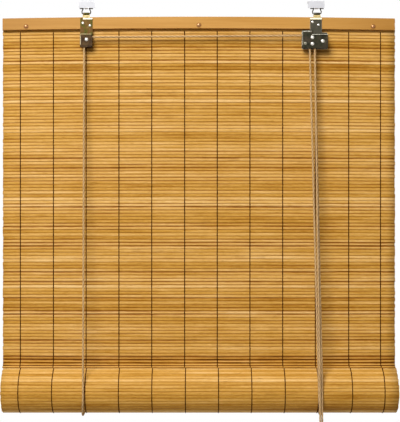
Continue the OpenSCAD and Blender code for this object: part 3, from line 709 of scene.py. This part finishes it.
def add_warp(soup, path, rows, x, shift, bow_share):
    """Two threads that cross at each slat's edge, one in front of a slat and one behind it."""
    for strand in (0, 1):
        points = []
        for i in rows:
            mid, d, n, length = slat_frame(path, i)
            front = 1 if (i + strand) % 2 == 0 else -1
            level = SLAT_T / 2 + 0.2
            slide = 0.12 if strand else -0.12
            for u, v, dx in ((-0.5, 0.0, 0.0), (-0.34, 0.8, 0.5), (0.0, 1.0, 1.0), (0.34, 0.8, 0.5)):
                u, v = u * length, v * level * front
                points.append((
                    x + shift + slide * dx * front, mid[0] + d[0] * u + n[0] * v,
                    mid[1] + d[1] * u + n[1] * v + bow(x) * bow_share(i)))
        tube(soup, points, THREAD_D, sides=6, lay=3.0, depth=0.0, phase=strand)


THREAD_DRIFT = (0.0, 0.6, 0.5, 0.7, 0.8, 1.2, 0.9, 0.8, 0.8, 0.6, 1.9, 0.0)


def warp_x(i):
    """Place of thread row i along the slats."""
    return MAT_MID + THREAD_SHIFT + (i - (THREADS - 1) / 2) * THREAD_PITCH + THREAD_DRIFT[i]


def curtain_share(i):
    """Share of the head's bow in row i: it turns over down the curtain and runs out on the bend."""
    if i <= FLAT_ROWS:
        return 1.0 - 1.3 * i / FLAT_ROWS
    return 0.13 * (i - FLAT_ROWS) - 0.3


def roll_tone_and_painted_shade(i):
    """Mean tone of row i of the roll: darker over the lower front as painted shade, with one dark slat."""
    if i == TAIL_ROWS + 9:
        return 0.12
    return 0.38 if TAIL_ROWS + 5 < i < TAIL_ROWS + 17 else 0.56


# Mat: head rows in the battens, hanging curtain, roll
rng = random.Random(11)
TOTAL_ROWS = FLAT_ROWS + BEND_ROWS
OPEN_EDGES = (9, 13, 43, 46, 58, 64, 69, 70, 78, 81, 86, 90, 91, 99)
curtain_gaps = edge_gaps(TOTAL_ROWS, rng, 0.08, 0.5)
for i in OPEN_EDGES:
    curtain_gaps[i] = (rng.uniform(0.95, 1.25), 0.35, rng.uniform(2, 6), rng.uniform(0, 6.3))
for i in range(FLAT_ROWS - 1, TOTAL_ROWS):
    curtain_gaps[i] = (rng.uniform(1.1, 1.3), 0.15, 4.0, i)
curtain_gaps[TOTAL_ROWS - 1] = (0.2, 0.0, 1.0, 0.0)


def painted_row_shade(i):
    """Painted shade: darkening of the row in the shadow under the batten, of the open edges at the bend,
    and of the rows beside the other open edges.
    """
    if i == HEAD_ROWS - 1:
        return 0.2
    if i >= FLAT_ROWS - 1:
        return 0.7
    return 0.25 if i in OPEN_EDGES or i + 1 in OPEN_EDGES else 0.0


def mat_stations():
    """Places along the mat's width."""
    return [MAT_X0 + (MAT_X1 - MAT_X0) * k / SECTIONS for k in range(SECTIONS + 1)]


def add_lip(soup, z, low, high, share):
    """Thin strip inside the mat across a seam at height z, so that the seam stays shut."""
    section = [(0.1, high), (0.1, low), (0.5, low), (0.5, high)]
    rings = []
    for x in mat_stations():
        rings.append([(x, MAT_Y + y, z + dz + bow(x) * share) for y, dz in section])
    # Its edge weight gives it the dark groove colour, partly painted shade.
    looks = {"tone": 0.4, "seed": 7.0, "edge": 0.7}
    soup.add(rings, {key: [[value] * len(section)] * len(rings) for key, value in looks.items()})


def mat_piece(name, rows, body):
    """Slats of some rows of the mat; the head rows get a lip at the seam below them, the bend rows one at
    the seam above them.
    """
    soup = Soup("tone", "seed", "edge")
    for i in rows:
        left = MAT_X0 + rng.uniform(-1.0, 0.2)
        right = MAT_X1 + rng.uniform(0.8, 2.0)
        add_slat(
            soup, CURTAIN_PATH, i, (left, right), SECTIONS, rng, curtain_gaps, curtain_share(i), painted_row_shade(i))
    if rows[0] == 0:
        add_lip(soup, MAT_TOP - HEAD_ROWS * PITCH, -1.8, 1.5, curtain_share(HEAD_ROWS - 1))
    if rows[0] == FLAT_ROWS:
        add_lip(soup, BEND_Z, -1.5, 0.8, curtain_share(FLAT_ROWS))
    return soup.piece(name, body, BAMBOO)


def warp_piece(name, path, rows, shift, share, body):
    """All thread rows over some rows of a path."""
    soup = Soup("ply")
    for t in range(THREADS):
        add_warp(soup, path, rows, warp_x(t), shift, share)
    return soup.piece(name, body, THREAD)


mat_piece("mat_in_battens", range(0, HEAD_ROWS), "head")
curtain = mat_piece("slat_curtain_mat", range(HEAD_ROWS, FLAT_ROWS), "head")
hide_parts("slat_curtain")
bend = mat_piece("mat_bend_slats", range(FLAT_ROWS, TOTAL_ROWS - 1), "sling")
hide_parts("mat_bend")
curtain_warp = warp_piece(
    "curtain_warp", CURTAIN_PATH, range(HEAD_ROWS, FLAT_ROWS), 0.0, curtain_share, "head")
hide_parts("curtain_threads")
bend_warp = warp_piece(
    "bend_warp", CURTAIN_PATH, range(FLAT_ROWS, TOTAL_ROWS - 1), 0.0, curtain_share, "sling")
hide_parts("bend_threads")

for obj in (curtain, curtain_warp):
    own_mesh(obj)

roll_gaps = edge_gaps(ROLL_COUNT, rng, 0.12, 0.7)
soup = Soup("tone", "seed", "edge")
for i in range(ROLL_COUNT):
    left = MAT_X0 + ROLL_SHIFT + rng.uniform(-0.8, 0.6)
    right = MAT_X1 + ROLL_SHIFT + rng.uniform(-0.6, 0.8)
    sections = 32 if i < OUTER_ROWS else 6
    add_slat(
        soup, ROLL_PATH, i, (left, right), sections, rng, roll_gaps, 0.0, relief=0.66, base=roll_tone_and_painted_shade(i))
roll = soup.piece("slat_roll_mat", "roll", BAMBOO)
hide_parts("slat_roll")
roll_warp = warp_piece(
    "roll_warp", ROLL_PATH, range(TAIL_ROWS, OUTER_ROWS), ROLL_SHIFT, lambda i: 0.0, "roll")
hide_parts("roll_threads")


# Battens with eased edges, bowed between the hangers

def batten(name, y0, t, node, ease):
    """Batten of thickness t from y0, with corners rounded to the radius ease."""
    soup = Soup()
    profile = []
    front, rear = y0 + ease, y0 + t - ease
    low, high = BATTEN_LOW + ease, BATTEN_TOP - ease
    corners = [(front, low, 180), (rear, low, 270), (rear, high, 0), (front, high, 90)]
    for cy, cz, a0 in corners:
        for k in range(5):
            a = math.radians(a0 + 22.5 * k)
            profile.append((cy + ease * math.cos(a), cz + ease * math.sin(a)))
    soup.add([[(x, y, z + bow(x)) for y, z in profile] for x in mat_stations()], {})
    obj = soup.piece(name, "head", BATTEN, smooth=False)
    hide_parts(node)


batten("front_batten_wood", BATTEN_Y0, FRONT_T, "front_batten", 0.7)
batten("back_batten_wood", BATTEN_Y0 + FRONT_T + SLAT_T, BACK_T, "back_batten", 0.9)


# Dome nails in the front batten
soup = Soup()
for x, z in NAIL_SPOTS:
    rings = []
    for k in range(8):
        a = math.pi / 2 * k / 7.6
        r, y = NAIL_R * math.cos(a), BATTEN_Y0 - 0.15 - NAIL_H * math.sin(a)
        around = [2 * math.pi * j / 20 for j in range(20)]
        rings.append([(x + r * math.cos(b), y, z + r * math.sin(b)) for b in around])
    soup.add(rings, {})
nails = soup.piece("batten_dome_nails", "head", DOME)
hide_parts("batten_nails")


# Cords: RL and RP are the radii at which they lie on the roll and on another cord
RL = 48.7
RP = 52.8
START_Z = -98.0
REAR_Y, FRONT_Y = -29.9, -35.7
LEFT_AXLE = (-234.0, -83.0)
LOCK_WHEEL = (224.7, -79.7)
LINE_R = 5.2
LEFT_LEG, LEFT_SLING = -239.2, -237.6
RIGHT_LEG, RIGHT_SLING = 219.5, 235.0
PULL_X, FRONT_PULL, REAR_PULL = 229.9, 236.9, 241.5
ANCHOR_Y, ANCHOR_TOP, ANCHOR_LOW = -8.45, -42.5, -56.5
STEP = 1.6
LEG_STEPS, SLING_STEPS = 80, 90
LEFT_DRIFT, RIGHT_DRIFT = -4.2, 7.0


def arc_front(c, r, a0, a1, y, n=14):
    """Arc over a wheel, seen from the front, in degrees."""
    angles = [math.radians(a0 + (a1 - a0) * i / n) for i in range(n + 1)]
    return [(c[0] + r * math.cos(a), y, c[1] + r * math.sin(a)) for a in angles]


def arc_roll(x, r, a0, a1, n):
    """Arc around the roll at one x, in radians."""
    angles = [a0 + (a1 - a0) * i / n for i in range(n + 1)]
    return [(x, ROLL_Y + r * math.cos(a), ROLL_Z + r * math.sin(a)) for a in angles]


def touch(y, z, r, side):
    """Angle at which a straight cord from (y, z) comes on to the roll."""
    dy, dz = y - ROLL_Y, z - ROLL_Z
    return math.atan2(dz, dy) + side * math.acos(r / math.hypot(dy, dz))


def cord_piece(name, points, body, node, phase=0.0):
    """Cord along points, standing for one node."""
    soup = Soup("ply")
    tube(soup, resample(points, STEP), LINE_D, phase=phase)
    obj = soup.piece(name, body, CORD)
    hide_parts(node)
    return obj


def shorten(obj):
    """Gives a leg a mesh of its own."""
    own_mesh(obj)


points = [(LEFT_LEG, REAR_Y, START_Z)]
points += arc_front(LEFT_AXLE, LINE_R, 180, 90, REAR_Y)
points += arc_front(LOCK_WHEEL, LINE_R, 90, 0, REAR_Y)
points += [(PULL_X, REAR_Y, START_Z)]
cord_piece("head_cord_run", points, "head", "head_cord")
points = [(RIGHT_LEG, FRONT_Y, START_Z)]
points += arc_front(LOCK_WHEEL, LINE_R, 180, 0, FRONT_Y, 24)
points += [(PULL_X, FRONT_Y, START_Z)]
cord_piece("lock_cord_run", points, "head", "lock_cord")


def leg_path(x0, x1, y0, top_z, low, r, side):
    """Straight leg down to the point low on the roll, bowed out as far as the raised roll needs."""
    keep = 1 - LIFT / (top_z - low[2])
    points = []
    for k in range(LEG_STEPS + 1):
        s = k / LEG_STEPS
        z = top_z + (low[2] - top_z) * s
        up = top_z - (top_z - z) * keep - ROLL_Z - LIFT
        y = y0 + (low[1] - y0) * s
        if abs(up) < r:
            rim = math.sqrt(r * r - up * up)
            y = side * max(side * y, side * ROLL_Y + rim)
        points.append((x0 + (x1 - x0) * s, y, z))
    return points


left_front = touch(REAR_Y, START_Z, RL, 1)
right_front = touch(FRONT_Y, START_Z, RL, 1)
back = touch(ANCHOR_Y, ANCHOR_LOW, RL, -1) + 2 * math.pi
for name, leg_x, y, sling_x, angle, drift in (
        ("left", LEFT_LEG, REAR_Y, LEFT_SLING, left_front, LEFT_DRIFT),
        ("right", RIGHT_LEG, FRONT_Y, RIGHT_SLING, right_front, RIGHT_DRIFT)):
    sling = arc_roll(sling_x, RL, angle, back, SLING_STEPS)
    front_low, back_low = sling[0], sling[-1]
    points = leg_path(leg_x, sling_x, y, START_Z, front_low, RL, -1)
    leg = cord_piece(name + "_front_leg", points, "head", name + "_lift_front", 0.4)
    shorten(leg)
    points = [(sling_x, ANCHOR_Y, ANCHOR_TOP)]
    points += leg_path(sling_x, sling_x, ANCHOR_Y, ANCHOR_LOW, back_low, RL, 1)
    leg = cord_piece(name + "_back_leg", points, "head", name + "_lift_back", 0.9)
    shorten(leg)
    sway = [drift * math.sin(math.pi * k / SLING_STEPS) ** 2 for k in range(SLING_STEPS + 1)]
    points = [(x + dx, y, z) for dx, (x, y, z) in zip(sway, sling)]
    cord_piece(name + "_roll_sling", points, "sling", name + "_sling", 1.3)

for name, y, x, r in (("front", FRONT_Y, FRONT_PULL, RP), ("rear", REAR_Y, REAR_PULL, RL)):
    points = leg_path(PULL_X, x, y, START_Z, (x, ROLL_Y - r, ROLL_Z), r, -1)
    strand = cord_piece(name + "_pull_strand", points, "head", name + "_pull_upper", 0.2)
    shorten(strand)

# Hank of the two pull strands
HANK_TOP, HANK_RUN, HANK_IN, HANK_PITCH = -868.0, 60.0, 9.45, 3.9
HANK_LAYERS, HANK_DEEP = 4, 4
HANK_OUT = HANK_IN + HANK_LAYERS * HANK_PITCH
HANK_X = (FRONT_PULL + REAR_PULL) / 2
HANK_Y = ROLL_Y - (RL + RP) / 2
HANK_MID = HANK_TOP - HANK_OUT - HANK_RUN / 2
HANK_LOW = HANK_MID - HANK_OUT - HANK_RUN / 2
HANK_DEPTH = HANK_DEEP * HANK_PITCH
KNOT_DROP, KNOT_SIZE, KNOT_D = 9.0, 0.82, 2.9
ENTRY_R = 7.8
TIE_GAP, TIE_CORNER = 0.3, 2.5
STRAND_STEP, STRAND_FUZZ = 2.0, 0.2
EASE_START = 22.0


def smooth_step(s):
    """Smooth step from 0 to 1."""
    return s * s * (3 - 2 * s)


def hank_route(side):
    """Runs of one strand from the top of the hank to its knot, as points in millimetres."""
    radii = [HANK_OUT - HANK_PITCH * (j + 0.5) for j in range(HANK_LAYERS)]
    half = HANK_RUN / 2
    off = (REAR_PULL - FRONT_PULL) / 2
    reach = radii[0] + ENTRY_R
    rise = math.sqrt(reach ** 2 - (off + ENTRY_R) ** 2)
    meet = math.atan2(rise, off + ENTRY_R)
    flat = []

    def at(a, n, z):
        """Adds a point at a from the hank's middle, in layer n from front to back."""
        y = HANK_Y + side * HANK_PITCH * (n + 0.5)
        flat.append((HANK_X + side * a, y, HANK_MID + z))

    for k in range(11):
        b = math.pi + meet * k / 10
        at(off + ENTRY_R + ENTRY_R * math.cos(b), 0, half + rise + ENTRY_R * math.sin(b))
    for k in range(1, 11):
        b = meet * (1 - k / 10)
        at(radii[0] * math.cos(b), 0, half + radii[0] * math.sin(b))
    j, n = 0, 0
    while True:
        inward = n % 2 == 0
        for k in range(1, 9):
            at(radii[j], n, half - HANK_RUN * k / 8)
        last = j == (HANK_LAYERS - 1 if inward else 0)
        if last and n == HANK_DEEP - 1:
            break
        step = 1 if last else 0
        for k in range(1, 25):
            b = -math.pi * k / 24
            s = k / 24
            at(radii[j] * math.cos(b), n + step * smooth_step(s), -half + radii[j] * math.sin(b))
        n += step
        for k in range(1, 9):
            at(-radii[j], n, -half + HANK_RUN * k / 8)
        nxt = j + (1 if n % 2 == 0 else -1)
        for k in range(1, 25):
            b = math.pi * (1 - k / 24)
            s = min(1.0, (k / 24) * 180 / 100)
            r = radii[j] + (radii[nxt] - radii[j]) * smooth_step(s)
            at(r * math.cos(b), n, half + r * math.sin(b))
        j = nxt
    for k in range(1, 11):
        b = -meet * k / 10
        at(radii[0] * math.cos(b), n, -half + radii[0] * math.sin(b))
    for k in range(9, -1, -1):
        b = math.pi - meet * k / 10
        at(off + ENTRY_R + ENTRY_R * math.cos(b), n, -half - rise + ENTRY_R * math.sin(b))
    return flat


def smooth_route(points, step):
    """Evenly spaced points along a Catmull-Rom curve."""
    pts = [Vector(p) for p in points]
    dense = []
    for i in range(len(pts) - 1):
        p0, p1, p2 = pts[max(i - 1, 0)], pts[i], pts[i + 1]
        p3 = pts[min(i + 2, len(pts) - 1)]
        n = max(2, round((p2 - p1).length / step * 2))
        for k in range(n):
            t = k / n
            square = (2 * p0 - 5 * p1 + 4 * p2 - p3) * t * t
            cube = (3 * p1 - p0 - 3 * p2 + p3) * t ** 3
            dense.append(0.5 * (2 * p1 + (p2 - p0) * t + square + cube))
    dense.append(pts[-1])
    out, left = [dense[0]], step
    for a, b in zip(dense, dense[1:]):
        length = (b - a).length
        while length >= left and length > 0:
            a = a.lerp(b, left / length)
            out.append(a)
            length = (b - a).length
            left = step
        left -= length
    return out


def knot(name, c, phase):
    """Overhand knot around c."""
    soup = Soup("ply")
    points = []
    for k in range(48):
        t = 2 * math.pi * k / 48
        x = c[0] + KNOT_SIZE * (math.sin(t) + 2 * math.sin(2 * t))
        y = c[1] + KNOT_SIZE * (math.cos(t) - 2 * math.cos(2 * t))
        z = c[2] - 1.5 * KNOT_SIZE * math.sin(3 * t)
        points.append((x, y, z))
    tube(soup, points, KNOT_D, sides=10, lay=7.0, phase=phase, closed=True)
    return soup.piece(name, "head", CORD)


# Tie around the hank
soup = Soup("ply")
tie_x = HANK_OUT + TIE_GAP + CORD_D / 2 - TIE_CORNER
tie_y = HANK_DEPTH + TIE_GAP + CORD_D / 2 - TIE_CORNER
for turn in (-1, 0, 1):
    points = []
    for cx, cy, a0 in ((tie_x, tie_y, 0), (-tie_x, tie_y, 90), (-tie_x, -tie_y, 180), (tie_x, -tie_y, 270)):
        for k in range(7):
            a = math.radians(a0 + 15 * k)
            x = HANK_X + cx + TIE_CORNER * math.cos(a)
            y = HANK_Y + cy + TIE_CORNER * math.sin(a)
            points.append((x, y, HANK_MID + turn * CORD_D))
    points.append(points[0])
    tube(soup, resample(points, STEP)[:-1], CORD_D, phase=turn * 0.7, closed=True)
tie = soup.piece("hank_tie_turns", "head", CORD)
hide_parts("hank_tie")

# Free pull strands, each through its half of the hank to its knot
for name, side, x, r, node in (
        ("front", -1, FRONT_PULL, RP, "front_hank"),
        ("rear", 1, REAR_PULL, RL, "back_hank")):
    y0 = ROLL_Y - r
    y1 = HANK_Y + side * HANK_PITCH / 2
    hank = hank_route(side)
    ease_z = ROLL_Z - EASE_START
    top = [(x, y0, ROLL_Z), (x, y0, ROLL_Z - 10), (x, y0, ease_z)]
    for k in range(1, 5):
        z = ease_z + (hank[0][2] + 3 - ease_z) * k / 4
        top.append((x, y0 + (y1 - y0) * smooth_step(k / 4), z))
    end = Vector(hank[-1])
    tail = [(end.x, end.y, end.z - 4), (end.x, end.y, HANK_LOW - KNOT_DROP + 2.5)]
    path = smooth_route(top + hank + tail, STRAND_STEP)
    soup = Soup("ply")
    tube(soup, path, CORD_D + STRAND_FUZZ, sides=10, phase=0.6)
    strand = soup.piece(name + "_pull_cord", None, CORD)
    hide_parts(name + "_pull_lower", node)
    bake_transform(strand)
    end_knot = knot(name + "_pull_knot", (end.x, end.y, HANK_LOW - KNOT_DROP), side)
    if side == 1:
        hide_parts("pull_knots")


# Stage, light and camera
scene = bpy.context.scene
FLOOR_Z, FLOOR_HALF, FLOOR_BACK = -2.4, 2.0, 1.6
corners = [
    (-FLOOR_HALF, -FLOOR_HALF, FLOOR_Z), (FLOOR_HALF, -FLOOR_HALF, FLOOR_Z),
    (FLOOR_HALF, FLOOR_BACK, FLOOR_Z), (-FLOOR_HALF, FLOOR_BACK, FLOOR_Z)]
floor_mesh = bpy.data.meshes.new("floor")
floor_mesh.from_pydata(corners, [], [(0, 1, 2, 3)])
floor = bpy.data.objects.new("floor", floor_mesh)
scene.collection.objects.link(floor)

# The floor's shade fades into the white background before its edges
floor_mat, tree, bsdf = new_material("pale_floor")
bsdf.inputs["Base Color"].default_value = (0.8, 0.8, 0.79, 1)
bsdf.inputs["Roughness"].default_value = 0.8
away = distance(tree, axis(tree, 0), axis(tree, 1))
fade = ramp(tree, math_node(tree, "MULTIPLY", away, 0.5), [(0.2, 0.6), (0.72, 1.0)])
glow = tree.nodes.new("ShaderNodeEmission")
glow.inputs["Color"].default_value = (1, 1, 1, 1)
glow.inputs["Strength"].default_value = 1.0
blend = tree.nodes.new("ShaderNodeMixShader")
tree.links.new(math_node(tree, "MULTIPLY", fade, seen_ray(tree)), blend.inputs[0])
tree.links.new(bsdf.outputs[0], blend.inputs[1])
tree.links.new(glow.outputs[0], blend.inputs[2])
tree.links.new(blend.outputs[0], tree.get_output_node("ALL").inputs["Surface"])
floor.data.materials.append(floor_mat)

# Dim light from above for the object, white for rays that show the background
world = bpy.data.worlds.new("studio")
scene.world = world
world.use_nodes = True
tree = world.node_tree
tree.nodes.clear()
out = tree.nodes.new("ShaderNodeOutputWorld")
ambient = tree.nodes.new("ShaderNodeBackground")
ambient.inputs["Strength"].default_value = 1.0
split = tree.nodes.new("ShaderNodeSeparateXYZ")
tree.links.new(tree.nodes.new("ShaderNodeTexCoord").outputs["Generated"], split.inputs[0])
up = math_node(tree, "ADD", math_node(tree, "MULTIPLY", split.outputs[2], 0.5), 0.5)
sky = ramp(tree, up, [
    (0.25, (0.012, 0.007, 0.002)), (0.5, (0.11, 0.09, 0.06)),
    (0.7, (0.34, 0.33, 0.31)), (1.0, (0.62, 0.62, 0.62))])
tree.links.new(sky, ambient.inputs["Color"])
white = tree.nodes.new("ShaderNodeBackground")
white.inputs["Color"].default_value = (1, 1, 1, 1)
white.inputs["Strength"].default_value = 1.0
blend = tree.nodes.new("ShaderNodeMixShader")
tree.links.new(seen_ray(tree), blend.inputs[0])
tree.links.new(ambient.outputs[0], blend.inputs[1])
tree.links.new(white.outputs[0], blend.inputs[2])
tree.links.new(blend.outputs[0], out.inputs[0])


def area_light(name, place, target, size, power):
    """Square lamp that looks at target."""
    lamp = bpy.data.lights.new(name, "AREA")
    lamp.shape = "SQUARE"
    lamp.size = size
    lamp.energy = power
    obj = bpy.data.objects.new(name, lamp)
    obj.location = place
    obj.rotation_euler = (Vector(target) - Vector(place)).to_track_quat("-Z", "Y").to_euler()
    scene.collection.objects.link(obj)


area_light("key", (-1.1, -3.0, 1.7), (0, 0, -0.4), 1.9, 178)
area_light("window", (0.9, 2.6, 0.9), (0, 0, -0.5), 2.0, 60)

camera_data = bpy.data.cameras.new("camera")
camera_data.lens = 100.47
camera_data.sensor_width = 36
camera = bpy.data.objects.new("camera", camera_data)
camera.location = (-0.0033, -2.427, -0.4317)
camera.rotation_euler = (math.pi / 2, 0, 0)
scene.collection.objects.link(camera)
scene.camera = camera
scene.view_settings.view_transform = "Standard"
